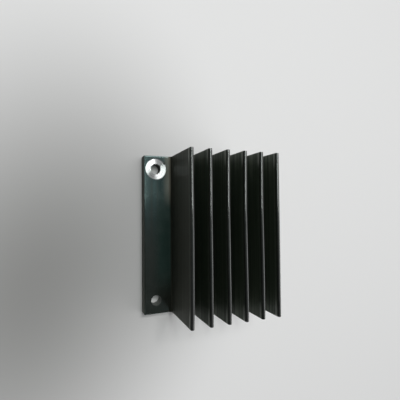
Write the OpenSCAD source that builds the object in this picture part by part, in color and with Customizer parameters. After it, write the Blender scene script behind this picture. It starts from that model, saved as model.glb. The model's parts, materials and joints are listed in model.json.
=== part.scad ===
// Extruded plate fin heat sink with a drilled mounting flange.
//
// The whole part is one aluminium extrusion, cut to length. Two through holes
// are then drilled in the flange, and the flange is spot faced round one of them
// so that a screw or an earth tag can seat there on bare metal.
//
// Axes: X runs across the fins, away from the flange. Y runs along the
// extrusion, with the spot face at its +Y end. Z points up the fins.
// Origin: the centre of the flat mounting face under the base plate.

/* [Extrusion] */
// Length that the extrusion is cut to
profile_length = 80; // [30:1:200]
// Thickness of the base plate
base_t = 6; // [3:0.5:12]
// Radius on the long edges of the base plate
base_edge_r = 0.5; // [0.2:0.1:1]
// Clear width of the flange, from its outer edge to the root of the first fin
flange_w = 14.1; // [13:0.1:40]

/* [Fins] */
// Number of fins
fin_count = 6; // [2:1:12]
// Distance from the centre of one fin to the centre of the next
fin_pitch = 9; // [6:0.5:16]
// Height of a fin above the base plate
fin_h = 29; // [10:1:50]
// Thickness of a fin where its sides would meet the base plate
fin_root_t = 2; // [1.8:0.1:3]
// Thickness of a fin at its tip, which is rounded all the way over
fin_tip_t = 1.8; // [0.8:0.1:2]
// Radius of the fillets at the root of a fin
root_fillet_r = 1.5; // [0.5:0.1:2]

/* [Mounting holes] */
// Diameter of the two through holes in the flange
hole_d = 5.2; // [3.2:0.1:6.6]
// Distance from each end of the extrusion to the centre of its hole
hole_end_gap = 6.65; // [6:0.05:12]
// Distance from the outer edge of the flange to the centres of the holes
hole_edge_gap = 6.1; // [5.5:0.1:8]
// Chamfer that breaks the sharp edges of the holes
hole_chamfer = 0.2; // [0.1:0.05:0.4]
// Diameter of the spot face round the hole at the +Y end
spot_d = 10.6; // [8:0.1:12]
// Depth of the spot face below the top of the flange
spot_depth = 0.4; // [0.1:0.1:1.5]

/* [Hidden] */

$fn = 64;

// How far a cutter runs past the face that it opens
cut_over = 1;

// Outline of the section
section_w = flange_w + fin_root_t + (fin_count - 1) * fin_pitch;
section_left = -section_w / 2;
first_fin_x = section_left + flange_w + fin_root_t / 2;

// Fin: half thickness at the root, radius of the tip, height of the tip's centre
root_half = fin_root_t / 2;
tip_r = fin_tip_t / 2;
tip_z = fin_h - tip_r;

// Draft: the lean of a side that starts at the root and touches the tip circle
draft = acos(tip_r / norm([root_half, tip_z])) - atan2(tip_z, root_half);

// Root fillet, limited so that two of them fit side by side between the fins
fillet_r = min(root_fillet_r, (fin_pitch - fin_root_t) / 2);
fillet_x = root_half + fillet_r * (1 - sin(draft)) / cos(draft);

// Places where a drafted side touches the tip circle and the fillet circle
side_top = [tip_r * cos(draft), tip_z + tip_r * sin(draft)];
side_foot = [fillet_x - fillet_r * cos(draft), fillet_r * (1 - sin(draft))];

// Holes
hole_x = section_left + hole_edge_gap;
hole_y = profile_length / 2 - hole_end_gap;

// Base plate: a flat bar with its long edges rounded
module base_section() {
    inner_x = section_w / 2 - base_edge_r;
    inner_z = base_t / 2 - base_edge_r;
    translate([0, base_t / 2]) {
        square([2 * inner_x, base_t], center = true);
        square([section_w, 2 * inner_z], center = true);
        for (x = [-inner_x, inner_x], z = [-inner_z, inner_z])
            translate([x, z]) circle(r = base_edge_r);
    }
}

// Half of a fin: a drafted side that runs from the root into the round tip.
// Its foot goes down into the base plate, so that the two are one piece.
module half_fin_section() {
    polygon([[0, -base_t / 2], [root_half, -base_t / 2], [root_half, 0], side_top, [0, tip_z]]);
}

// Web of metal between a fin's side and the base plate, under the fillet
module root_fillet_section() {
    difference() {
        polygon([[0, 0], [fillet_x, 0], side_foot, [0, side_foot.y]]);
        translate([fillet_x, fillet_r]) circle(r = fillet_r);
    }
}

// One fin, centred on its own axis and standing on the base plate.
// The outermost fin has no base plate beyond it, and so no fillet there.
module fin_section(outermost) {
    for (side = [0, 1])
        mirror([side, 0]) {
            half_fin_section();
            if (side == 1 || !outermost)
                root_fillet_section();
        }
    translate([0, tip_z]) circle(r = tip_r);
}

// The whole section that leaves the die
module profile_section() {
    base_section();
    for (i = [0 : fin_count - 1])
        translate([first_fin_x + i * fin_pitch, base_t])
            fin_section(outermost = i == fin_count - 1);
}

// Drill for one through hole, with the chamfers at its two mouths.
// mouth_z is the height of the face that the upper mouth opens in.
module hole_cutter(mouth_z) {
    flare = hole_chamfer + cut_over;
    translate([0, 0, -cut_over])
        cylinder(d = hole_d, h = mouth_z + 2 * cut_over);
    translate([0, 0, -cut_over])
        cylinder(r1 = hole_d / 2 + flare, r2 = hole_d / 2, h = flare);
    translate([0, 0, mouth_z - hole_chamfer])
        cylinder(r1 = hole_d / 2, r2 = hole_d / 2 + flare, h = flare);
}

module heat_sink() {
    color([0.10, 0.12, 0.11])
    difference() {
        rotate([90, 0, 0])
            linear_extrude(height = profile_length, center = true)
                profile_section();
        translate([hole_x, -hole_y, 0]) hole_cutter(base_t);
        translate([hole_x, hole_y, 0]) hole_cutter(base_t - spot_depth);
        translate([hole_x, hole_y, base_t - spot_depth])
            cylinder(d = spot_d, h = spot_depth + cut_over);
    }
}

heat_sink();
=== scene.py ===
"""Visual model of an extruded plate fin heat sink, on a pale floor in soft light.

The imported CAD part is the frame. One closed mesh stands for it: a Geometry
Nodes tree sweeps the extrusion's section along Y, gives it the small faults of a
real extrusion, and drills and spot faces the flange.
"""

import json
import logging
import math
from dataclasses import dataclass, field, replace
from enum import Enum
from functools import partial, partialmethod, reduce
from typing import Any, Optional, Sequence, Union

import bpy
from mathutils import Matrix, Vector


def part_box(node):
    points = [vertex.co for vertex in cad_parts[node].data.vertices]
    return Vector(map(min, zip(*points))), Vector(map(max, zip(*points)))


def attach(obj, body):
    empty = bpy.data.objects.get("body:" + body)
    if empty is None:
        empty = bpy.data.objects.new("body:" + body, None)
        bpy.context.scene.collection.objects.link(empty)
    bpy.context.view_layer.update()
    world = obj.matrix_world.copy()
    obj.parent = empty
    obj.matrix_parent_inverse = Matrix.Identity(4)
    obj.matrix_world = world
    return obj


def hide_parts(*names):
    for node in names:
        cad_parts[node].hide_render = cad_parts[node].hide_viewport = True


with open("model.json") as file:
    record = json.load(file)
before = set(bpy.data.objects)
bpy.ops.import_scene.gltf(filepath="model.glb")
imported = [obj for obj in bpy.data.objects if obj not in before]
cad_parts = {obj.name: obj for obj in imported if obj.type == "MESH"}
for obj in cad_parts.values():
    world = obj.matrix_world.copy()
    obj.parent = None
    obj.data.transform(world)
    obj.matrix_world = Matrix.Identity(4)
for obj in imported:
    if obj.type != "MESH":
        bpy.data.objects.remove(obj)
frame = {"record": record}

log = logging.getLogger("heat_sink")

MM = 0.001
NODE = "heat_sink"
BODY = "root"
UV_NAME = "UVMap"
UV_METRES = 0.1
KNOCK = "knock"
NUMBER_RESULTS = ("LENGTH", "DISTANCE", "DOT_PRODUCT")

Triple = tuple[float, float, float]
Colour = Triple
Point = tuple[float, float]
Band = tuple[float, float]
Socket = bpy.types.NodeSocket
Value = Union[Socket, float, int, bool, Sequence[float]]


# ---- node graphs


class Graph:
    """Builds a node tree, for geometry or for a shader, one value at a time."""

    def __init__(self, tree: bpy.types.NodeTree) -> None:
        """Wraps an empty tree."""
        self.tree = tree
        self._count = 0

    def put(self, socket: Socket, value: Value) -> None:
        """Links a socket to another socket, or gives it a plain value.

        Args:
            socket: the input that takes the value.
            value: an output socket, or a number, colour, vector or data block.
        """
        if isinstance(value, bpy.types.NodeSocket):
            self.tree.links.new(value, socket)
        elif isinstance(value, (tuple, list)) and len(value) == 3 and socket.type == "RGBA":
            socket.default_value = (*value, 1.0)
        else:
            socket.default_value = value

    def node(
        self, kind: str, inputs: Optional[dict[Union[str, int], Value]] = None, **settings: Any
    ) -> bpy.types.Node:
        """Adds a node.

        Args:
            kind: the node's type name.
            inputs: values for its inputs, by name or by place.
            **settings: the node's own properties.

        Returns:
            The new node.
        """
        made = self.tree.nodes.new(kind)
        made.location = (180 * (self._count % 12), -220 * (self._count // 12))
        self._count += 1
        for name, value in settings.items():
            setattr(made, name, value)
        for key, value in (inputs or {}).items():
            self.put(made.inputs[key], value)
        return made

    def get(self, *call: Any, **settings: Any) -> Socket:
        """Adds a node, as node() does, and returns its first output."""
        return self.node(*call, **settings).outputs[0]

    def math(self, operation: str, *values: Value, clamp: bool = False) -> Socket:
        """Adds one step of arithmetic and keeps its result from 0 to 1 if clamp is True."""
        inputs = dict(enumerate(values))
        return self.get("ShaderNodeMath", inputs, operation=operation, use_clamp=clamp)

    def times(self, *values: Value) -> Socket:
        """Multiplies numbers."""
        return reduce(partial(self.math, "MULTIPLY"), values)

    def plus(self, *values: Value) -> Socket:
        """Adds numbers."""
        return reduce(partial(self.math, "ADD"), values)

    def most(self, *values: Value) -> Socket:
        """Picks the largest of some numbers."""
        return reduce(partial(self.math, "MAXIMUM"), values)

    # One named step of arithmetic each, with its inputs in order.
    minus = partialmethod(math, "SUBTRACT")
    over = partialmethod(math, "DIVIDE")
    size = partialmethod(math, "ABSOLUTE")
    below = partialmethod(math, "LESS_THAN")
    above = partialmethod(math, "GREATER_THAN")

    def vector(self, operation: str, *values: Value) -> Socket:
        """Adds one step of vector arithmetic, whose result is a number for LENGTH and such."""
        made = self.node("ShaderNodeVectorMath", dict(enumerate(values)), operation=operation)
        return made.outputs["Value" if operation in NUMBER_RESULTS else "Vector"]

    def scaled(self, vector: Value, factor: Value) -> Socket:
        """Multiplies a vector by a number."""
        return self.get("ShaderNodeVectorMath", {0: vector, "Scale": factor}, operation="SCALE")

    def split(self, vector: Value) -> tuple[Socket, Socket, Socket]:
        """Splits a vector into x, y and z."""
        return tuple(self.node("ShaderNodeSeparateXYZ", {0: vector}).outputs)

    def join(self, x: Value, y: Value, z: Value) -> Socket:
        """Joins three numbers into a vector."""
        return self.get("ShaderNodeCombineXYZ", {0: x, 1: y, 2: z})

    def ramp(
        self, value: Value, low: Value, high: Value, start: Value = 0.0, end: Value = 1.0
    ) -> Socket:
        """Goes smoothly from start, at and below low, to end, at and above high."""
        inputs = {0: value, 1: low, 2: high, 3: start, 4: end}
        return self.get("ShaderNodeMapRange", inputs, interpolation_type="SMOOTHSTEP")

    def fall(self, value: Value, low: Value, high: Value) -> Socket:
        """Goes smoothly from 1, at and below low, to 0, at and above high."""
        return self.ramp(value, low, high, 1.0, 0.0)

    def noise(self, vector: Value, scale: Value, detail: float = 2.0, rough: float = 0.5) -> Socket:
        """Adds a noise from 0 to 1, with detail finer layers that are as strong as rough says."""
        inputs = {"Vector": vector, "Scale": scale, "Detail": detail, "Roughness": rough}
        return self.get("ShaderNodeTexNoise", inputs)

    def mix(self, factor: Value, a: Value, b: Value) -> Socket:
        """Mixes two colours.

        Args:
            factor: 0 for a, 1 for b.
            a: the first colour.
            b: the second colour.

        Returns:
            The mixed colour's socket.
        """
        made = self.node("ShaderNodeMix", data_type="RGBA", clamp_factor=True)
        for name, value in (("Factor_Float", factor), ("A_Color", a), ("B_Color", b)):
            self.put(next(s for s in made.inputs if s.identifier == name), value)
        return next(s for s in made.outputs if s.identifier == "Result_Color")

    def bump(self, height: Value, strength: float = 1.0, distance: float = 1.0) -> Socket:
        """Turns a height into a normal."""
        inputs = {"Strength": strength, "Distance": distance, "Height": height}
        return self.get("ShaderNodeBump", inputs)

    def lines(self) -> Socket:
        """Gives the direction of U on the piece's own map."""
        return self.get("ShaderNodeTangent", direction_type="UV_MAP", uv_map=UV_NAME)


class Sort(Enum):
    """Kinds of value that a group takes or gives."""

    FLOAT = "NodeSocketFloat"
    INT = "NodeSocketInt"
    VECTOR = "NodeSocketVector"
    GEOMETRY = "NodeSocketGeometry"
    MATERIAL = "NodeSocketMaterial"


class Group:
    """A node group with named inputs and outputs."""

    def __init__(
        self, name: str, kind: str, inputs: dict[str, Any], outputs: dict[str, Sort]
    ) -> None:
        """Makes the group's tree and its interface.

        Args:
            name: the group's name.
            kind: ShaderNodeTree or GeometryNodeTree.
            inputs: the Sort of each input, in order, or the number that it has by default.
            outputs: the Sort of each output, in order.
        """
        self.tree = bpy.data.node_groups.new(name, kind)
        self.keys: dict[str, str] = {}
        for side, ports in (("INPUT", inputs), ("OUTPUT", outputs)):
            for port, given in ports.items():
                number = Sort.INT if isinstance(given, int) else Sort.FLOAT
                sort = given if isinstance(given, Sort) else number
                made = self.tree.interface.new_socket(
                    name=port, in_out=side, socket_type=sort.value
                )
                if sort is not given:
                    made.default_value = given
                if side == "INPUT":
                    self.keys[port] = made.identifier
        self.graph = Graph(self.tree)
        self.given = self.graph.node("NodeGroupInput").outputs
        self._result = self.graph.node("NodeGroupOutput").inputs

    def give(self, **values: Value) -> None:
        """Links the group's outputs, each by its name in lower case."""
        for name, value in values.items():
            self.graph.put(self._result[name.capitalize()], value)

    def use(self, g: Graph, **inputs: Value) -> Sequence[Socket]:
        """Adds the group to a material.

        Args:
            g: the material's graph.
            **inputs: the group's inputs, by name in lower case.

        Returns:
            The group's outputs.
        """
        made = g.node("ShaderNodeGroup", node_tree=self.tree)
        for name, value in inputs.items():
            g.put(made.inputs[name.capitalize()], value)
        return made.outputs


# ---- section


@dataclass(frozen=True)
class Profile:
    """The section that leaves the die, in metres, seen along +Y."""

    left: float
    right: float
    base_t: float
    top: float
    fins: tuple[float, ...]
    edge_r: float = 0.5 * MM
    root_half: float = 1.0 * MM
    tip_r: float = 0.9 * MM
    fillet_r: float = 1.5 * MM
    die_line: float = 1.2 * MM
    die_half: float = 0.16 * MM
    die_depth: float = 0.014 * MM
    flat_step: float = 0.55 * MM
    side_step: float = 1.1 * MM
    hidden_step: float = 2.5 * MM
    guard: float = 0.15 * MM
    arc_points: int = 7
    tip_points: int = 17

    @property
    def pitch(self) -> float:
        """Distance between two fins."""
        return self.fins[1] - self.fins[0]

    @property
    def tip_z(self) -> float:
        """Height of the centre of a round tip."""
        return self.top - self.tip_r

    @property
    def draft(self) -> float:
        """Lean of a fin's side, which starts at the root and touches the tip circle.

        Returns:
            The angle, in radians.
        """
        rise = self.tip_z - self.base_t
        touch = math.acos(self.tip_r / math.hypot(self.root_half, rise))
        return touch - math.atan2(rise, self.root_half)

    @property
    def fillet_x(self) -> float:
        """Distance from a fin's axis to the centre of its root fillet."""
        return self.root_half + self.fillet_r * (1 - math.sin(self.draft)) / math.cos(self.draft)

    def _arc(self, centre: Point, r: float, start: float, end: float, count: int) -> list[Point]:
        """Points on an arc round a centre, with both ends, at angles in radians."""
        turns = [start + (end - start) * i / (count - 1) for i in range(count)]
        return [(centre[0] + r * math.cos(t), centre[1] + r * math.sin(t)) for t in turns]

    def _line(self, a: Point, b: Point, step: float) -> list[Point]:
        """Points between two others.

        Args:
            a: the first end, not included.
            b: the other end, not included.
            step: the distance between the points, at most.

        Returns:
            The points, with one close to each end so that the arcs keep their shading.
        """
        length = math.dist(a, b)
        guard = min(self.guard, length / 4)
        count = max(1, math.ceil((length - 2 * guard) / step))
        spots = [guard + (length - 2 * guard) * i / count for i in range(count + 1)]
        return [
            (a[0] + (b[0] - a[0]) * s / length, a[1] + (b[1] - a[1]) * s / length) for s in spots
        ]

    def _fin(self, x: float, outermost: bool) -> list[Point]:
        """One fin, from the foot of its left side over the tip to its right foot.

        Args:
            x: where its axis is.
            outermost: True for the fin with no base plate beyond it.

        Returns:
            Its points.
        """
        lean = self.draft
        foot_z = self.base_t + self.fillet_r
        points = self._arc(
            (x - self.fillet_x, foot_z), self.fillet_r, -math.pi / 2, -lean, self.arc_points
        )
        tip = self._arc((x, self.tip_z), self.tip_r, math.pi - lean, lean, self.tip_points)
        points += self._line(points[-1], tip[0], self.side_step) + tip
        if outermost:
            root = (x + self.root_half, self.base_t)
            return points + self._line(tip[-1], root, self.side_step) + [root]
        turns = (math.pi + lean, 1.5 * math.pi, self.arc_points)
        foot = self._arc((x + self.fillet_x, foot_z), self.fillet_r, *turns)
        return points + self._line(tip[-1], foot[0], self.side_step) + foot

    def outline(self) -> list[Point]:
        """The whole section, clockwise from the left end of the mounting face.

        Returns:
            Its points, once each.
        """
        low, high = self.edge_r, self.base_t - self.edge_r
        inner_left, inner_right = self.left + self.edge_r, self.right - self.edge_r
        count = self.arc_points
        points = self._arc((inner_left, low), self.edge_r, -math.pi / 2, -math.pi, count)
        points += self._line((self.left, low), (self.left, high), self.flat_step)
        points += self._arc((inner_left, high), self.edge_r, math.pi, math.pi / 2, count)
        line = self.left + self.die_line
        groove = [(line - self.die_half, self.base_t), (line, self.base_t - self.die_depth)]
        points += self._line(points[-1], groove[0], self.flat_step) + groove
        points.append((line + self.die_half, self.base_t))
        for number, x in enumerate(self.fins):
            fin = self._fin(x, outermost=number == len(self.fins) - 1)
            points += self._line(points[-1], fin[0], self.flat_step) + fin
        corner = self._arc((inner_right, low), self.edge_r, 0.0, -math.pi / 2, count)
        points += self._line(points[-1], corner[0], self.flat_step) + corner
        return points + self._line(corner[-1], (inner_left, 0.0), self.hidden_step)


@dataclass(frozen=True)
class Drilling:
    """The two holes in the flange and the spot face round one of them, in metres.

    A cutter reaches past the metal by over, and slip_ is a pit that one left by slipping.
    """

    x: float
    y: float
    hole_r: float
    spot_z: float
    spot_r: float = 5.3 * MM
    chamfer: float = 0.03 * MM
    slip_turn: float = 0.58
    slip_reach: float = 5.0 * MM
    slip_r: float = 3 * 0.36 * MM
    slip_sink: float = 0.30 * MM
    slip_height: float = 0.9 * MM
    slip_sides: int = 24
    over: float = 1.0 * MM
    rim: float = 0.08 * MM
    rings: int = 28

    @property
    def slip(self) -> Point:
        """Where the cutter slipped and left a pit in the rim of the spot face."""
        return (
            self.x + self.slip_reach * math.cos(self.slip_turn),
            self.y + self.slip_reach * math.sin(self.slip_turn),
        )


@dataclass(frozen=True)
class Dent:
    """A knock on one fin, given where it is deepest, in metres."""

    fin: int
    y: float
    half_length: float
    reach: float
    depth: float
    lean: float

    def centre(self, profile: Profile) -> Triple:
        """The deepest point, turned from the crest of the fin's tip by the dent's lean."""
        return (
            profile.fins[self.fin] + profile.tip_r * math.sin(self.lean),
            self.y,
            profile.tip_z + profile.tip_r * math.cos(self.lean),
        )

    def push(self) -> Triple:
        """The way and the distance that the metal is pushed in."""
        return (-self.depth * math.sin(self.lean), 0.0, -self.depth * math.cos(self.lean))


DENTS = tuple(
    Dent(fin, y * MM, half_length * MM, reach * MM, depth * MM, lean)
    for fin, y, half_length, reach, depth, lean in (
        (1, 5.0, 0.9, 0.7, 0.22, -0.5),
        (3, 4.4, 2.6, 0.9, 0.10, -0.8),
        (5, -31.0, 0.8, 0.6, 0.12, 0.4),
        (0, -37.5, 0.9, 0.7, 0.12, 0.1),
    )
)


@dataclass(frozen=True)
class Bow:
    """A stretch of one fin whose tip is bent to one side, in metres."""

    fin: int
    y: float
    half_length: float
    shift: float


BOWS = tuple(
    Bow(fin, y * MM, half_length * MM, shift * MM)
    for fin, y, half_length, shift in (
        (0, -40, 9, -0.20),
        (0, -2, 38, 0.15),
        (1, -20, 30, 0.09),
        (1, 26, 18, 0.08),
        (2, 14, 24, -0.14),
        (2, -29, 18, 0.12),
        (3, 10, 28, -0.24),
        (3, -28, 16, 0.11),
        (4, 16, 28, -0.23),
        (4, -24, 18, 0.07),
        (5, -4, 44, 0.08),
    )
)


# ---- geometry nodes


class ExtrusionTree:
    """The Geometry Nodes tree that turns a section into the finished part."""

    end_gap: float = 0.01 * MM
    line_scale: float = 900.0
    sway_scale: float = 42.0
    sharp: float = math.radians(32)
    steep: float = 0.7

    def __init__(self, profile: Profile, drilling: Drilling, dents: Sequence[Dent]) -> None:
        """Builds the tree.

        Args:
            profile: the section that is swept.
            drilling: the holes and the spot face.
            dents: the knocks on the fins.
        """
        self.profile, self.drilling, self.dents = profile, drilling, dents
        self.group = Group(
            "extrusion",
            "GeometryNodeTree",
            {
                "Section": Sort.GEOMETRY,
                "Length": 80 * MM,
                "Stations": 84,
                "End Crowding": 0.62,
                "Waviness": 0.05 * MM,
                "Line Depth": 0.012 * MM,
                "Broken Edge": 0.09 * MM,
                "Groove Depth": 0.035 * MM,
                "Sides": 128,
                "Fin Finish": Sort.MATERIAL,
                "Flange Finish": Sort.MATERIAL,
                "Root Finish": Sort.MATERIAL,
                "Bare": Sort.MATERIAL,
            },
            {"Part": Sort.GEOMETRY},
        )
        self.graph, self.given = self.group.graph, self.group.given
        self.place = self.graph.get("GeometryNodeInputPosition")
        self.normal = self.graph.get("GeometryNodeInputNormal")
        self.part = self._sweep()
        self._add_faults()
        self._drill()
        self._shade()
        self._mark_knocks()
        self._unwrap()
        self._step("GeometryNodeRealizeInstances")
        self._dress()
        self.group.give(part=self.part)

    def _step(self, kind: str, inputs: Optional[dict[str, Value]] = None, **settings: Any) -> None:
        """Passes the part through one more node."""
        self.part = self.graph.get(kind, {"Geometry": self.part, **(inputs or {})}, **settings)

    def _sweep(self) -> Socket:
        """Sweeps the section along stations that crowd towards both ends.

        Returns:
            The closed bar's socket.
        """
        g, given = self.graph, self.given
        half, crowding = g.times(given["Length"], 0.5), given["End Crowding"]
        ends = {"Start": g.join(0, g.times(half, -1.0), 0), "End": g.join(0, half, 0)}
        line = g.get("GeometryNodeCurvePrimitiveLine", ends)
        points = g.get("GeometryNodeResampleCurve", {"Curve": line, "Count": given["Stations"]})
        along = g.over(g.split(self.place)[1], half)
        bent = g.math("SINE", g.times(along, math.pi / 2))
        eased = g.plus(g.times(along, g.minus(1.0, crowding)), g.times(bent, crowding))
        station = g.join(0, g.times(eased, half), 0)
        placed = g.get("GeometryNodeSetPosition", {"Geometry": points, "Position": station})
        section = g.get("GeometryNodeMeshToCurve", {"Mesh": given["Section"]})
        bar = {"Curve": placed, "Profile Curve": section, "Fill Caps": True}
        return g.get("GeometryNodeCurveToMesh", bar)

    def _add_faults(self) -> None:
        """Adds broken end edges, die lines, fins that are not quite flat, and dents."""
        g, given, p = self.graph, self.given, self.profile
        x, y, z = g.split(self.place)
        nx, _, nz = g.split(self.normal)
        inward = g.scaled(g.vector("NORMALIZE", g.join(nx, 0, nz)), -1.0)
        at_end = g.below(g.minus(g.times(given["Length"], 0.5), g.size(y)), self.end_gap)
        lines = g.noise(g.join(x, 0.0, z), self.line_scale, detail=3.0, rough=0.7)
        depth = g.plus(g.times(lines, given["Line Depth"]), g.times(at_end, given["Broken Edge"]))

        number = g.math("ROUND", g.over(g.minus(x, p.fins[0]), p.pitch))
        height = g.math("DIVIDE", g.minus(z, p.base_t), p.top - p.base_t, clamp=True)
        spot = g.join(g.times(y, self.sway_scale), g.times(number, 3.7), 1.3)
        sway = g.times(g.minus(g.noise(spot, 1.0, 1.0), 0.5), given["Waviness"])
        for bow in BOWS:
            away = g.over(g.size(g.minus(y, bow.y)), bow.half_length)
            bent = g.ramp(away, 0.0, 1.0, bow.shift, 0.0)
            sway = g.plus(sway, g.times(bent, g.math("COMPARE", number, bow.fin, 0.1)))
        sway = g.times(sway, g.times(height, height))
        offset = g.vector("ADD", g.scaled(inward, depth), g.join(sway, 0, 0))
        for dent in self.dents:
            offset = g.vector("ADD", offset, g.scaled(dent.push(), self._near(dent)))
        self._step("GeometryNodeSetPosition", {"Offset": offset})

    def _near(self, dent: Dent) -> Socket:
        """Tells how much a dent is felt.

        Args:
            dent: the dent.

        Returns:
            A number that is 1 where the dent is deepest and 0 outside it.
        """
        g = self.graph
        dx, dy, dz = g.split(g.vector("SUBTRACT", self.place, dent.centre(self.profile)))
        across = g.over(g.vector("LENGTH", g.join(dx, 0, dz)), dent.reach)
        along = g.over(dy, dent.half_length)
        return g.fall(g.vector("LENGTH", g.join(across, along, 0)), 0.0, 1.0)

    def _cutter(
        self, low_r: float, high_r: float, low: float, high: float, y: float, rings: int = 1
    ) -> Socket:
        """Makes a closed cutter on a hole's axis, a cylinder or, to break a mouth, a cone.

        Args:
            low_r: its lower radius.
            high_r: its upper radius.
            low: its lower end.
            high: its upper end.
            y: which hole it is at.
            rings: how many rings the flat ends of a cylinder have.

        Returns:
            Its socket.
        """
        if low_r == high_r:
            sizes = {"Radius": low_r, "Depth": high - low, "Fill Segments": rings}
            return self._at("Cylinder", sizes, (self.drilling.x, y, (low + high) / 2))
        sizes = {"Radius Top": high_r, "Radius Bottom": low_r, "Depth": high - low}
        return self._at("Cone", sizes, (self.drilling.x, y, low))

    def _at(self, kind: str, sizes: dict[str, Value], at: Triple) -> Socket:
        """Makes a cylinder or a cone and moves it to its place."""
        mesh = self.graph.get("GeometryNodeMesh" + kind, {"Vertices": self.given["Sides"], **sizes})
        return self.graph.get("GeometryNodeTransform", {"Geometry": mesh, "Translation": at})

    def _pit(self) -> Socket:
        """Makes a small blunt cone where the spot facing cutter slipped.

        Returns:
            Its socket.
        """
        d = self.drilling
        sizes = {
            "Vertices": d.slip_sides,
            "Radius Top": d.slip_r,
            "Radius Bottom": 0.0,
            "Depth": d.slip_height,
        }
        return self._at("Cone", sizes, (*d.slip, d.spot_z - d.slip_sink))

    def _turned(self, spot: Socket) -> Socket:
        """Gives the spot face the fine rings that the cutter leaves.

        Args:
            spot: the cutter, whose lower end has rings.

        Returns:
            Its socket, with grooves in the lower end.
        """
        g, d = self.graph, self.drilling
        radius = g.vector("LENGTH", self._arm(self.place))
        step = d.spot_r / d.rings
        ring = g.math("ROUND", g.over(radius, step))
        deep = g.times(g.math("MODULO", ring, 2.0), g.noise(g.join(ring, 0.37, 0.0), 1.7, 1.0))
        inner = g.below(radius, d.spot_r - step / 2)
        floor = g.below(g.split(self.place)[2], d.spot_z + 0.05 * MM)
        lift = g.times(deep, self.given["Groove Depth"], g.times(inner, floor))
        return g.get("GeometryNodeSetPosition", {"Geometry": spot, "Offset": g.join(0, 0, lift)})

    def _drill(self) -> None:
        """Drills both holes, breaks their edges and spot faces the one at +Y."""
        g, d, p = self.graph, self.drilling, self.profile
        cutters: list[Socket] = []
        for y, mouth in ((-d.y, p.base_t), (d.y, d.spot_z)):
            wide = d.hole_r + d.chamfer + d.over
            cutters.append(self._cutter(d.hole_r, d.hole_r, -d.over, mouth + 2 * d.over, y))
            cutters.append(self._cutter(wide, d.hole_r, -d.over, d.chamfer, y))
            cutters.append(self._cutter(d.hole_r, wide, mouth - d.chamfer, mouth + d.over, y))
        high, rim_r = p.base_t + d.over, d.spot_r + d.rim + d.over
        spot = self._cutter(d.spot_r, d.spot_r, d.spot_z, high, d.y, d.rings)
        rim = self._cutter(d.spot_r, rim_r, p.base_t - d.rim, high, d.y)
        cutters += [self._turned(spot), rim, self._pit()]
        settings = {"operation": "DIFFERENCE", "solver": "MANIFOLD"}
        cut = g.node("GeometryNodeMeshBoolean", {"Mesh 1": self.part}, **settings)
        for cutter in cutters:
            g.put(cut.inputs["Mesh 2"], cutter)
        self.part = cut.outputs[0]

    def _shade(self) -> None:
        """Shades the part smooth, apart from its sharp edges."""
        g = self.graph
        edges = g.above(g.get("GeometryNodeInputMeshEdgeAngle"), self.sharp)
        for domain, choice, smooth in (("FACE", True, True), ("EDGE", edges, False)):
            shading = {"Selection": choice, "Shade Smooth": smooth}
            self._step("GeometryNodeSetShadeSmooth", shading, domain=domain)

    def _mark_knocks(self) -> None:
        """Stores how deep the dents are, because metal shows through there."""
        g = self.graph
        wear = g.most(*[g.times(self._near(dent), dent.depth) for dent in self.dents])
        knocks = g.over(wear, max(dent.depth for dent in self.dents))
        self._store(KNOCK, knocks, data_type="FLOAT", domain="POINT")

    def _dress(self) -> None:
        """Gives the fins, the flange, the roots and the spot face their finishes."""
        g, p = self.graph, self.profile
        x, _, z = g.split(self.place)
        first = p.fins[0] - p.fillet_x
        upper = g.times(g.above(g.split(self.normal)[2], 0.5), g.above(z, p.base_t / 2))
        foot = g.times(g.above(z, p.base_t + 0.004 * MM), g.below(z, p.base_t + p.fillet_r))
        choices = {
            "Fin Finish": True,
            "Flange Finish": g.times(upper, g.below(x, first)),
            "Root Finish": g.times(foot, g.below(x, p.fins[-1]), g.above(x, first)),
            "Bare": self._spot_faced(self.place),
        }
        for name, choice in choices.items():
            inputs = {"Selection": choice, "Material": self.given[name]}
            self._step("GeometryNodeSetMaterial", inputs)

    def _store(self, name: str, value: Socket, **settings: str) -> None:
        """Stores a named value on the part, as the type and in the domain that settings say."""
        inputs = {"Name": name, "Value": value}
        self._step("GeometryNodeStoreNamedAttribute", inputs, **settings)

    def _unwrap(self) -> None:
        """Gives every face a map whose U runs along the extrusion.

        On a sawn end it runs along X, and on the spot face it runs outwards.
        """
        g = self.graph
        _, ny, nz = g.split(self._of_face(self.normal))
        x, y, z = g.split(self.place)
        u = self._pick(g.above(g.size(ny), self.steep), x, y)
        v = self._pick(g.above(g.size(nz), self.steep), x, z)

        middle = self._of_face(self.place)
        arm, outward = self._arm(self.place), g.vector("NORMALIZE", self._arm(middle))
        across = g.vector("CROSS_PRODUCT", (0.0, 0.0, 1.0), outward)
        turned = self._spot_faced(middle)
        u = self._pick(turned, g.vector("DOT_PRODUCT", arm, outward), u)
        v = self._pick(turned, g.plus(g.vector("DOT_PRODUCT", arm, across), z), v)
        uv = g.scaled(g.join(u, v, 0), 1 / UV_METRES)
        self._store(UV_NAME, uv, data_type="FLOAT2", domain="CORNER")

    def _arm(self, place: Socket) -> Socket:
        """Gives the level way to a place from the spot face's axis."""
        away = self.graph.vector("SUBTRACT", place, (self.drilling.x, self.drilling.y, 0.0))
        return self.graph.vector("MULTIPLY", away, (1.0, 1.0, 0.0))

    def _of_face(self, vector: Socket) -> Socket:
        """Gives the value that a vector has on each face as a whole."""
        settings = {"data_type": "FLOAT_VECTOR", "domain": "FACE"}
        return self.graph.get("GeometryNodeFieldOnDomain", {0: vector}, **settings)

    def _pick(self, choice: Socket, yes: Value, no: Value) -> Socket:
        """Chooses the number yes where the choice is 1, and no where it is 0."""
        return self.graph.get("ShaderNodeMix", {"Factor": choice, "A": no, "B": yes})

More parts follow.
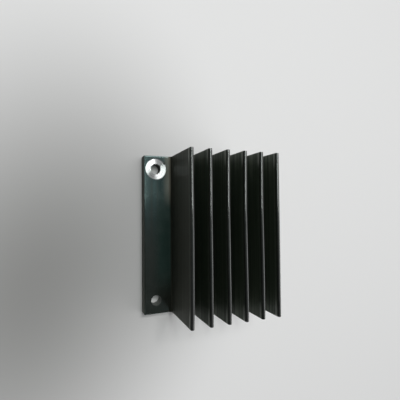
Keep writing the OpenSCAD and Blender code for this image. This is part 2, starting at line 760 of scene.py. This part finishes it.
    def _spot_faced(self, place: Socket) -> Socket:
        """Tells the spot face, with its wall and its broken edge, from the rest.

        Args:
            place: a place on the part, or the middle of each face.

        Returns:
            A number that is 1 on the spot face and 0 elsewhere.
        """
        g, d = self.graph, self.drilling
        z = g.split(place)[2]
        near = g.below(g.vector("LENGTH", self._arm(place)), d.spot_r + 0.2 * MM)
        high = g.below(z, self.profile.base_t - 0.03 * MM)
        return g.times(near, high, g.above(z, d.spot_z - 0.15 * MM))


# ---- shared effects


def shader_group(name: str, inputs: dict[str, float], *outputs: str) -> Group:
    """Makes an empty shader group that reads a place, has more inputs, and gives numbers."""
    ports = {"Place": Sort.VECTOR, **inputs}
    return Group(name, "ShaderNodeTree", ports, dict.fromkeys(outputs, Sort.FLOAT))


def drawn_grain() -> Group:
    """Makes the group for grain that is drawn out in one direction.

    Returns:
        The group, which reads a place whose drawn out direction has already been squeezed.
    """
    group = shader_group("drawn_grain", {"Scale": 3.0, "Contrast": 0.5}, "Height", "Tone")
    g, given = group.graph, group.given
    fine = g.noise(given["Place"], given["Scale"], detail=3.0, rough=0.6)
    broad = g.noise(given["Place"], g.times(given["Scale"], 0.16), detail=2.0)
    tone = g.plus(g.times(fine, 0.6), g.times(broad, 0.4))
    swing = g.times(g.minus(tone, 0.5), given["Contrast"])
    group.give(height=fine, tone=g.plus(swing, 1.0))
    return group


def edge_wear() -> Group:
    """Makes the group for finish that is rubbed away along edges.

    Returns:
        The group, whose mask is 1 where the finish is gone.
    """
    group = shader_group("edge_wear", {"Width": 0.2 * MM, "Amount": 0.5}, "Mask")
    g, given = group.graph, group.given
    rounded = g.get("ShaderNodeBevel", {"Radius": given["Width"]}, samples=4)
    flat = g.node("ShaderNodeNewGeometry").outputs["Normal"]
    turn = g.minus(1.0, g.vector("DOT_PRODUCT", rounded, flat))
    patches = g.ramp(g.noise(given["Place"], 0.55, detail=4.0, rough=0.7), 0.42, 0.66)
    rubbed = g.times(g.ramp(turn, 0.03, 0.22), g.plus(0.35, patches))
    group.give(mask=g.math("MULTIPLY", rubbed, given["Amount"], clamp=True))
    return group


def dust_film() -> Group:
    """Makes the group for a thin film of dust and finger marks on what faces up.

    Returns:
        The group, whose film is 0 where the finish is clean.
    """
    group = shader_group("dust_film", {"Amount": 0.5}, "Film")
    g, given = group.graph, group.given
    up = g.split(g.node("ShaderNodeTexCoord").outputs["Normal"])[2]
    clouds = g.ramp(g.noise(given["Place"], 0.17, detail=3.0), 0.35, 0.75)
    specks = g.ramp(g.noise(given["Place"], 3.1, detail=1.0), 0.70, 0.78)
    film = g.plus(g.times(clouds, 0.6), g.times(specks, 0.9))
    film = g.times(film, g.ramp(up, -0.2, 1.0, 0.25, 1.0))
    group.give(film=g.math("MULTIPLY", film, given["Amount"], clamp=True))
    return group


@dataclass
class Effects:
    """The shader groups that several materials share."""

    grain: Group = field(default_factory=drawn_grain)
    wear: Group = field(default_factory=edge_wear)
    dust: Group = field(default_factory=dust_film)


# ---- finishes


def new_material(name: str) -> tuple[bpy.types.Material, Graph]:
    """Makes an empty node material.

    Args:
        name: its name.

    Returns:
        The material and its graph.
    """
    material = bpy.data.materials.new(name)
    material.use_nodes = True
    material.node_tree.nodes.clear()
    return material, Graph(material.node_tree)


def cover(g: Graph, looks: dict[str, Value]) -> None:
    """Gives a material its Principled shader, with the given inputs."""
    g.node("ShaderNodeOutputMaterial", {"Surface": g.get("ShaderNodeBsdfPrincipled", looks)})


@dataclass(frozen=True)
class PaintedLightPatch:
    """A part of the flange whose colour holds painted light. It fades in along X and along Y.

    Lengths are in millimetres, and x is counted from the first fin.
    """

    colour: Colour
    x: Band
    y: Band
    y_out: Optional[Band] = None


PAINTED_LIGHT_PATCHES = (
    # greener tint, lightened as painted light where the first fin's shadow falls
    PaintedLightPatch((0.015, 0.029, 0.025), x=(-11.55, -5.55), y=(-34.0, -16.0), y_out=(10.0, 28.0)),
    # painted highlight: a warm glow beside the spot face, where reflected light falls
    PaintedLightPatch((0.1250, 0.1180, 0.0970), x=(-6.05, -2.35), y=(12.0, 25.0)),
)


@dataclass(frozen=True)
class BlackAnodised:
    """Satin black anodised aluminium, with the die's lines along Y.

    The bumps are in metres, and the other lengths in millimetres. A name that starts with
    top_ counts down from the top of the fins, first_ or last_ counts along X from that fin,
    mark_ counts from the line that the die presses under the tips, and one that ends in _y
    is a place along Y. A name that starts with up_ says how far up a face turns.
    """

    name: str
    profile: Profile
    drilling: Drilling
    base: Colour = (0.0105, 0.0115, 0.0090)
    # painted light: the fins' sides in the channels are lighter than the outer sides, which stay
    # darker
    sides: Colour = (0.0480, 0.0640, 0.0420)
    outer: Colour = (0.0180, 0.0180, 0.0115)
    # painted reflection: the outer sides grow lighter towards the -Y end
    outer_end_reflection: Colour = (0.0400, 0.0410, 0.0310)
    # teal tint, lighter towards +Y as a painted sheen
    teal_sheen: Colour = (0.0020, 0.0190, 0.0220)
    # die-line streaks, painted as light and dark reflections that are strongest near the fins' ends
    die_streak_reflection: Colour = (0.13, 0.14, 0.115)
    dark_streak: Colour = (0.0, 0.0, 0.0)
    # painted reflection: the die's line under the tips shows light, mostly near the ends
    pressed_line_reflection: Colour = (0.22, 0.23, 0.21)
    # painted shade: the fins' round tops are near black
    shoulder_shade: Colour = (0.002, 0.002, 0.002)
    dusty: Colour = (0.42, 0.41, 0.39)
    metal: Colour = (0.30, 0.31, 0.30)
    tint: Colour = (0.76, 1.0, 0.97)
    ior: float = 1.62
    rough: float = 0.40
    flat_rough: float = 0.15
    burnish: float = 1.0
    drawn: float = 0.85
    line_bump: float = 0.0015 * MM
    side_bump: float = 0.045 * MM
    die_mark: float = 0.045 * MM
    saw_bump: float = 0.010 * MM
    hollow: float = 0.0
    top_crest: Band = (0.9, 0.25)
    top_shoulder: Band = (1.05, 0.75)
    top_burnish: Band = (0.42, 0.14)
    top_mark: float = 2.1
    first_side: Band = (-0.75, 1.95)
    first_foot: float = -1.05
    last_side: Band = (0.15, 0.65)
    mark_paint: Band = (0.35, 1.0)
    mark_bump: Band = (0.7, 1.1)
    up_side: Band = (0.30, 0.95)
    up_sheen: Band = (0.75, 0.98)
    # how far up a face turns before the painted light patches show
    up_painted_patch: Band = (0.2, 0.7)
    up_smooth: Band = (0.975, 0.9995)
    up_hollow: Band = (0.9, 0.99)
    sheen_y: Band = (-12.0, 32.0)
    outer_y: Band = (-38.0, -14.0)
    end_y: Band = (20.0, 40.0)
    hollow_y: float = 33.0
    streak_share: float = 0.8
    middle_share: float = 0.35
    outer_share: float = 0.25
    edge_share: float = 0.10
    mouth_share: float = 0.55
    mouth_width: float = 0.04
    knock_share: float = 0.8
    dust_share: float = 0.05
    dust_rough: float = 0.10
    coat_rough: float = 0.10
    coat_ior: float = 1.70
    squeeze: float = 0.006
    saw_squeeze: float = 0.02
    saw_curve: float = 0.006

    def build(self, effects: Effects) -> bpy.types.Material:
        """Makes the material."""
        return BlackCoat(self, effects).material


class BlackCoat:
    """The nodes of one black finish. Its places are in millimetres."""

    def __init__(self, finish: BlackAnodised, effects: Effects) -> None:
        """Makes the material.

        Args:
            finish: the looks.
            effects: the shared groups.
        """
        self.material, self.g = new_material(finish.name)
        self.finish, self.effects = finish, effects
        self.top, fins = finish.profile.top / MM, finish.profile.fins
        self.first, self.last = fins[0] / MM, fins[-1] / MM
        self._read()
        self._build()

    def _under_top(self, band: Band, end: float = 1.0) -> Socket:
        """Goes from 0 to end over a band that is counted down from the top."""
        return self.g.ramp(self.z, self.top - band[0], self.top - band[1], 0.0, end)

    def _read(self) -> None:
        """Reads the place and the facing that the looks depend on."""
        g, f = self.g, self.finish
        seen = g.node("ShaderNodeTexCoord").outputs
        self.place = g.scaled(seen["Object"], 1 / MM)
        self.x, self.y, self.z = g.split(self.place)
        _, ny, self.up = g.split(seen["Normal"])
        self.along = g.join(self.x, g.times(self.y, f.squeeze), self.z)
        self.sawn = g.ramp(g.size(ny), 0.6, 0.9)
        self.unsawn = g.minus(1.0, self.sawn)
        below = g.minus(1.0, self._under_top(f.top_crest))
        self.inner = g.times(g.fall(self.up, *f.up_side), below)
        right = g.ramp(self.x, self.first + f.first_side[0], self.first + f.first_side[1])
        left = g.fall(self.x, self.last + f.last_side[0], self.last + f.last_side[1])
        self.between = g.times(right, left)
        self.near_end = g.ramp(g.size(self.y), *f.end_y)
        self.mark = g.size(g.minus(self.z, self.top - f.top_mark))
        streaks = self.effects.grain.use(g, place=self.along, scale=0.9, contrast=1.2)
        self.streaks = streaks["Height"]

    def _flat(self) -> Socket:
        """Colours what faces up: black with a teal tint and a painted sheen that grows towards +Y,
        and the flange's painted light.

        Returns:
            The colour.
        """
        g, f = self.g, self.finish
        # painted sheen: on faces that look up, the teal grows towards +Y, where the ceiling's
        # reflection falls
        sheen_mask = g.times(g.ramp(self.y, *f.sheen_y), g.ramp(self.up, *f.up_sheen))
        sheen_mask = g.times(sheen_mask, g.ramp(g.noise(self.along, 0.5, detail=2.0), 0.25, 0.60))
        colour = g.mix(sheen_mask, f.base, f.teal_sheen)
        # painted light and a painted highlight, from the flange's patches
        for painted_patch in PAINTED_LIGHT_PATCHES:
            here = g.ramp(self.x, self.first + painted_patch.x[0], self.first + painted_patch.x[1])
            flange = g.below(self.x, self.first + f.first_foot)
            here = g.times(here, g.ramp(self.y, *painted_patch.y), flange)
            if painted_patch.y_out:
                here = g.times(here, g.fall(self.y, *painted_patch.y_out))
            colour = g.mix(g.times(here, g.ramp(self.up, *f.up_painted_patch)), colour, painted_patch.colour)
        return colour

    def _side(self) -> Socket:
        """Colours the fins' sides: lighter in the channels and towards the -Y end as painted light,
        with streaks and the die's line under the tips as painted reflections that grow near the
        ends.

        Returns:
            The colour.
        """
        g, f = self.g, self.finish
        # painted reflection: the outer sides grow lighter towards the -Y end
        paler = g.mix(g.fall(self.y, *f.outer_y), f.outer, f.outer_end_reflection)
        # painted light: lighter sides in the channels, darker outer sides
        side = g.mix(self.between, paler, f.sides)
        # die-line streaks, painted as reflections that grow near the ends and in the channels
        streak = g.ramp(self.streaks, 0.34, 0.66, -1.0, 1.0)
        fade = g.ramp(self.near_end, 0.0, 1.0, f.middle_share, 1.0)
        fade = g.times(fade, g.ramp(self.between, 0.0, 1.0, f.outer_share, 1.0))
        light = g.times(g.ramp(streak, 0.0, 1.0), fade)
        dark = g.times(g.fall(streak, -1.0, 0.0), fade)
        side = g.mix(g.times(light, f.streak_share), side, f.die_streak_reflection)
        side = g.mix(g.times(dark, f.streak_share), side, f.dark_streak)
        # painted reflection: the die's line under the tips shows light, mostly near the ends
        near = g.ramp(self.near_end, 0.6, 0.9, 0.12, 1.0)
        return g.mix(g.times(g.fall(self.mark, *f.mark_paint), near), side, f.pressed_line_reflection)

    def _bare(self) -> Socket:
        """Marks where metal shows: on edges, round the plain hole's mouth and in knocks.

        Returns:
            The mask.
        """
        g, f, d = self.g, self.finish, self.finish.drilling
        wear = self.effects.wear.use(g, place=self.place, width=0.22 * MM, amount=0.35)["Mask"]
        knock = g.node("ShaderNodeAttribute", attribute_name=KNOCK).outputs["Fac"]
        axis = (d.x / MM, -d.y / MM, 0.0)
        away = g.vector("DISTANCE", g.join(self.x, self.y, 0), axis)
        rim = d.hole_r / MM
        mouth = g.ramp(away, rim, rim + f.mouth_width, f.mouth_share, 0.0)
        knocked = g.ramp(knock, 0.45, 0.95, 0.0, f.knock_share)
        return g.most(g.times(wear, f.edge_share), mouth, knocked)

    def _build(self) -> None:
        """Puts the colour, the roughness and the height together."""
        g, f, grain = self.g, self.finish, self.effects.grain
        arc = g.plus(self.z, g.times(self.x, self.x, f.saw_curve))
        across = g.join(g.times(self.x, f.saw_squeeze), self.y, arc)
        lines = grain.use(g, place=self.along, scale=2.2, contrast=0.7)
        saw = grain.use(g, place=across, scale=3.4, contrast=0.7)
        dust = self.effects.dust.use(g, place=self.place, amount=0.5)["Film"]

        colour = g.mix(self.inner, self._flat(), self._side())
        # painted shade: the round tops of the fins are darkened
        colour = g.mix(self._under_top(f.top_shoulder), colour, f.shoulder_shade)
        colour = g.mix(g.times(dust, f.dust_share), colour, f.dusty)
        colour = g.mix(self._bare(), colour, f.metal)

        tone = g.plus(g.times(lines["Tone"], self.unsawn), g.times(saw["Tone"], self.sawn))
        rough = g.times(tone, g.ramp(self.up, *f.up_smooth, f.rough, f.flat_rough))
        rough = g.math("ADD", rough, g.times(dust, f.dust_rough), clamp=True)

        die = g.ramp(self.mark, *f.mark_bump, f.die_mark, 0.0)
        hollow = g.most(g.minus(f.hollow_y, self.y), 0.0)
        height = g.plus(
            g.times(lines["Height"], self.unsawn, f.line_bump),
            g.times(self.streaks, self.inner, f.side_bump),
            g.times(die, g.times(self.inner, self.near_end)),
            g.times(saw["Height"], self.sawn, f.saw_bump),
            g.times(hollow, hollow, f.hollow, g.ramp(self.up, *f.up_hollow)),
        )
        looks = {
            "Base Color": colour,
            "Roughness": rough,
            "Metallic": 0.0,
            "IOR": f.ior,
            "Specular Tint": f.tint,
            "Anisotropic": f.drawn,
            "Anisotropic Rotation": 0.25,
            "Tangent": g.lines(),
            "Normal": g.bump(height),
            "Coat Weight": self._under_top(f.top_burnish, f.burnish),
            "Coat Roughness": f.coat_rough,
            "Coat IOR": f.coat_ior,
        }
        cover(g, looks)


@dataclass(frozen=True)
class TurnedAluminium:
    """Bare aluminium that a spot facing cutter has turned."""

    drilling: Drilling
    base: Colour = (0.56, 0.57, 0.57)
    dull: Colour = (0.38, 0.39, 0.38)
    rubbed: Colour = (0.88, 0.88, 0.87)
    rough: float = 0.28
    turned: float = 1.0
    ring_bump: float = 0.003 * MM

    def build(self, effects: Effects) -> bpy.types.Material:
        """Makes the material.

        Args:
            effects: the shared groups.

        Returns:
            The material.
        """
        material, g = new_material("turned_aluminium")
        place = g.scaled(g.node("ShaderNodeTexCoord").outputs["Object"], 1 / MM)
        x, y, z = g.split(place)
        dx, dy = g.minus(x, self.drilling.x / MM), g.minus(y, self.drilling.y / MM)
        radius, turn = g.vector("LENGTH", g.join(dx, dy, 0)), g.math("ARCTAN2", dy, dx)
        rings = g.join(radius, g.times(turn, 0.05), z)
        grain = effects.grain.use(g, place=rings, scale=4.5, contrast=0.9)
        wear = effects.wear.use(g, place=place, width=0.12 * MM, amount=0.6)["Mask"]
        dust = effects.dust.use(g, place=place, amount=0.15)["Film"]
        colour = g.mix(g.plus(g.times(grain["Height"], 0.35), dust), self.base, self.dull)
        looks = {
            "Base Color": g.mix(wear, colour, self.rubbed),
            "Roughness": g.times(grain["Tone"], self.rough),
            "Metallic": 1.0,
            "Anisotropic": self.turned,
            "Tangent": g.lines(),
            "Normal": g.bump(g.times(grain["Height"], self.ring_bump)),
        }
        cover(g, looks)
        return material


@dataclass(frozen=True)
class PaleFloor:
    """Matt pale table top, with a painted shadow: a little darker in an oval where the light falls
    off.
    """

    base: Colour = (0.803, 0.788, 0.790)
    shade: Colour = (0.275, 0.27, 0.265)
    middle: Point = (-0.081, -0.021)
    half: Point = (0.107, 0.165)
    turn: float = -0.286

    def build(self) -> bpy.types.Material:
        """Makes the material.

        Returns:
            The material.
        """
        material, g = new_material("pale_floor")
        place = g.node("ShaderNodeTexCoord").outputs["Object"]
        x, y, _ = g.split(place)
        dx, dy = g.minus(x, self.middle[0]), g.minus(y, self.middle[1])
        cos, sin = math.cos(self.turn), math.sin(self.turn)
        across = g.over(g.plus(g.times(dx, cos), g.times(dy, sin)), self.half[0])
        along = g.over(g.minus(g.times(dy, cos), g.times(dx, sin)), self.half[1])
        shade = g.fall(g.vector("LENGTH", g.join(across, along, 0)), 0.0, 1.0)
        grain = g.noise(g.scaled(place, 1 / MM), 0.8, detail=4.0)
        looks = {
            # painted shadow: the oval darkens the floor's colour
            "Base Color": g.mix(shade, self.base, self.shade),
            "Roughness": 0.75,
            "Normal": g.bump(grain, strength=0.3, distance=0.02 * MM),
        }
        cover(g, looks)
        return material


# ---- pieces


def new_object(name: str, data: bpy.types.ID) -> bpy.types.Object:
    """Makes an object and links it to the scene.

    Args:
        name: its name.
        data: its mesh, light or camera.

    Returns:
        The object, at the origin.
    """
    made = bpy.data.objects.new(name, data)
    bpy.context.scene.collection.objects.link(made)
    return made


@dataclass
class FinnedExtrusion:
    """The whole heat sink: one closed mesh whose fins, flange, roots and bare metal differ."""

    profile: Profile
    drilling: Drilling
    length: float
    dents: tuple[Dent, ...] = DENTS
    name: str = "finned_extrusion"

    def _section(self) -> bpy.types.Object:
        """Makes the loop of edges that the tree sweeps.

        Returns:
            The object that holds it. A sweep along Y turns the loop's y into -Z.
        """
        points = [(x, -z, 0.0) for x, z in self.profile.outline()]
        mesh = bpy.data.meshes.new(self.name)
        edges = [(i, (i + 1) % len(points)) for i in range(len(points))]
        mesh.from_pydata(points, edges, [])
        return new_object(self.name, mesh)

    def _pack_slots(self, mesh: bpy.types.Mesh) -> None:
        """Drops the material slots that no face uses.

        Args:
            mesh: the finished mesh.
        """
        index = [0] * len(mesh.polygons)
        mesh.polygons.foreach_get("material_index", index)
        used = sorted(set(index))
        kept = [mesh.materials[i] for i in used]
        mesh.materials.clear()
        for material in kept:
            mesh.materials.append(material)
        mesh.polygons.foreach_set("material_index", [used.index(i) for i in index])
        mesh.update()

    def build(self, finishes: dict[str, bpy.types.Material]) -> bpy.types.Object:
        """Makes the piece and ties it to the CAD model.

        Args:
            finishes: its materials, by the name of the tree's input.

        Returns:
            The finished piece.
        """
        made = self._section()
        group = ExtrusionTree(self.profile, self.drilling, self.dents).group
        modifier = made.modifiers.new("extrusion", "NODES")
        modifier.node_group = group.tree
        modifier[group.keys["Length"]] = self.length
        for name, material in finishes.items():
            modifier[group.keys[name]] = material
        graph = bpy.context.evaluated_depsgraph_get()
        plain = bpy.data.meshes.new_from_object(made.evaluated_get(graph))
        made.modifiers.clear()
        made.data = plain
        plain.name = self.name
        self._pack_slots(plain)
        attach(made, BODY)
        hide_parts(NODE)
        counts = (len(plain.vertices), len(plain.polygons))
        log.info("%s: %d points, %d faces", self.name, *counts)
        log.info("%s: finishes %s", self.name, [m.name for m in plain.materials])
        return made


# ---- studio


def stand(place: Vector, right: Vector, up: Vector, back: Vector) -> Matrix:
    """Builds the matrix of a lamp or a camera from its place and its X, Y and Z axes."""
    return Matrix.Translation(place) @ Matrix((right, up, back)).transposed().to_4x4()


@dataclass(frozen=True)
class SoftLamp:
    """A rectangular lamp that points at the part."""

    name: str
    way: Triple
    distance: float
    width: float
    height: float
    watts: float
    colour: Colour = (1.0, 1.0, 1.0)

    def build(self, target: Vector) -> None:
        """Makes the lamp.

        Args:
            target: the point that it lights.
        """
        data = bpy.data.lights.new(self.name, "AREA")
        data.shape = "RECTANGLE"
        data.size, data.size_y = self.width, self.height
        data.energy, data.color = self.watts, self.colour
        way = Vector(self.way).normalized()
        up = way.cross(Vector((1.0, 0.0, 0.0))).normalized()
        side = up.cross(way).normalized()
        lamp = new_object(self.name, data)
        lamp.matrix_world = stand(target + way * self.distance, side, up, way)
        log.info("lamp %s: %.2f W", self.name, self.watts)


LAMPS = (
    SoftLamp("ceiling_lamp", (-0.06, 0.24, 0.970), 0.90, 0.11, 0.42, 3.1, (0.94, 1.0, 0.975)),
    SoftLamp("key_lamp", (0.10, 0.43, 0.897), 1.1, 0.24, 0.10, 2.6),
    SoftLamp("side_fill", (0.80, -0.26, 0.56), 0.9, 0.32, 0.42, 0.4),
)


@dataclass(frozen=True)
class SoftWorld:
    """Soft light, stronger from one side, in front of a plain pale background."""

    level: float = 1.18
    dim: float = 0.07
    pale: float = 0.66
    bright_way: Triple = (0.90, 0.25, 0.30)
    bright_band: Band = (0.25, 0.95)
    horizon: Band = (0.02, 0.14)
    colour: Colour = (0.985, 0.99, 1.0)

    def build(self) -> None:
        """Makes the world and gives it to the scene."""
        world = bpy.data.worlds.new("soft_world")
        world.use_nodes = True
        world.node_tree.nodes.clear()
        g = Graph(world.node_tree)
        way = g.vector("NORMALIZE", g.node("ShaderNodeTexCoord").outputs["Generated"])
        near = g.vector("DOT_PRODUCT", way, Vector(self.bright_way).normalized()[:])
        level = g.ramp(near, *self.bright_band, self.dim, self.level)
        rays = g.node("ShaderNodeLightPath").outputs
        mirrored = g.most(rays["Is Glossy Ray"], rays["Is Transmission Ray"])
        mirrored = g.times(mirrored, g.fall(g.split(way)[2], *self.horizon))
        seen = g.most(rays["Is Camera Ray"], mirrored)
        level = g.plus(g.times(level, g.minus(1.0, seen)), g.times(seen, self.pale))
        sky = g.get("ShaderNodeBackground", {"Color": self.colour, "Strength": level})
        g.node("ShaderNodeOutputWorld", {"Surface": sky})
        bpy.context.scene.world = world


@dataclass(frozen=True)
class ViewCamera:
    """The camera that looks down on the fins from beside the flange."""

    place: Triple = (-65.41 * MM, 12.20 * MM, 166.63 * MM)
    right: Triple = (0.92667, -0.00785, 0.37581)
    up: Triple = (-0.00432, 0.99949, 0.03155)
    lens: float = 28.976
    sensor: float = 36.0
    nearest: float = 5.0 * MM

    def build(self) -> None:
        """Makes the camera and gives it to the scene."""
        data = bpy.data.cameras.new("view_camera")
        data.lens, data.sensor_width = self.lens, self.sensor
        data.clip_start = self.nearest
        right = Vector(self.right).normalized()
        back = right.cross(Vector(self.up)).normalized()
        camera = new_object("view_camera", data)
        camera.matrix_world = stand(Vector(self.place), right, back.cross(right), back)
        bpy.context.scene.camera = camera


@dataclass(frozen=True)
class Studio:
    """Floor, lamps, world and camera."""

    floor_size: float = 6.0

    def _floor(self) -> None:
        """Makes the floor that the part stands on."""
        h = self.floor_size / 2
        mesh = bpy.data.meshes.new("floor")
        corners = [(-h, -h, 0.0), (h, -h, 0.0), (h, h, 0.0), (-h, h, 0.0)]
        mesh.from_pydata(corners, [], [(0, 1, 2, 3)])
        mesh.materials.append(PaleFloor().build())
        new_object("floor", mesh)

    def build(self, target: Vector) -> None:
        """Makes the studio.

        Args:
            target: the point that the lamps light.
        """
        self._floor()
        for lamp in LAMPS:
            lamp.build(target)
        SoftWorld().build()
        ViewCamera().build()
        bpy.context.scene.view_settings.view_transform = "Standard"
        log.info("studio: floor, %d lamps, world and camera", len(LAMPS))


# ---- main


@dataclass(frozen=True)
class CadFacts:
    """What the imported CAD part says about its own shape."""

    low: Vector
    high: Vector
    record: dict[str, Any]

    def profile(self) -> Profile:
        """Works out the section: the channels between the fins say where the fins are.

        Returns:
            The section.
        """
        boxes = [opening["box_m"] for opening in self.record["physics"]["openings"]]
        middles = [total / 2 for total in sorted(box[0][0] + box[1][0] for box in boxes)]
        pitch = middles[1] - middles[0]
        return Profile(
            left=self.low.x,
            right=self.high.x,
            base_t=2 * self._mount("screw_holes")["pos_m"][2],
            top=self.high.z,
            fins=(middles[0] - pitch / 2, *(middle + pitch / 2 for middle in middles)),
        )

    def drilling(self) -> Drilling:
        """Works out the drilling from the mounts.

        Returns:
            The drilling.
        """
        holes, seat = self._mount("screw_holes"), self._mount("earth_seat")
        return Drilling(
            x=holes["pos_m"][0],
            y=holes["dims"]["spacing_y_mm"] * MM / 2,
            hole_r=holes["dims"]["hole_r_mm"] * MM,
            spot_z=seat["pos_m"][2],
        )

    def _mount(self, name: str) -> dict[str, Any]:
        """Finds a mount in the record by its name."""
        return next(mount for mount in self.record["mounts"] if mount["name"] == name)


def finishes(profile: Profile, drilling: Drilling) -> dict[str, bpy.types.Material]:
    """Makes the part's materials.

    Args:
        profile: the section of the part.
        drilling: its holes and spot face.

    Returns:
        The materials, by the name of the tree's input.
    """
    flange = BlackAnodised("black_anodised_flange", profile, drilling, hollow=-0.00040 * MM)
    dull = replace(flange, hollow=0.0, tint=(0.86, 1.0, 0.91), rough=0.50)
    fins = replace(dull, name="black_anodised_fins", ior=1.42, drawn=0.6)
    roots = replace(dull, name="black_anodised_roots", ior=1.18)
    looks = {
        "Fin Finish": fins,
        "Flange Finish": flange,
        "Root Finish": roots,
        "Bare": TurnedAluminium(drilling),
    }
    effects = Effects()
    return {name: look.build(effects) for name, look in looks.items()}


def main() -> None:
    """Builds the part and its studio."""
    logging.basicConfig(level=logging.INFO, format="%(name)s: %(message)s")
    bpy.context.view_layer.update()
    low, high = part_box(NODE)
    facts = CadFacts(low, high, frame["record"])
    profile, drilling = facts.profile(), facts.drilling()
    part = FinnedExtrusion(profile, drilling, length=high.y - low.y)
    part.build(finishes(profile, drilling))
    Studio().build(Vector((0.0, 0.0, high.z / 2)))


if __name__ == "__main__":
    main()
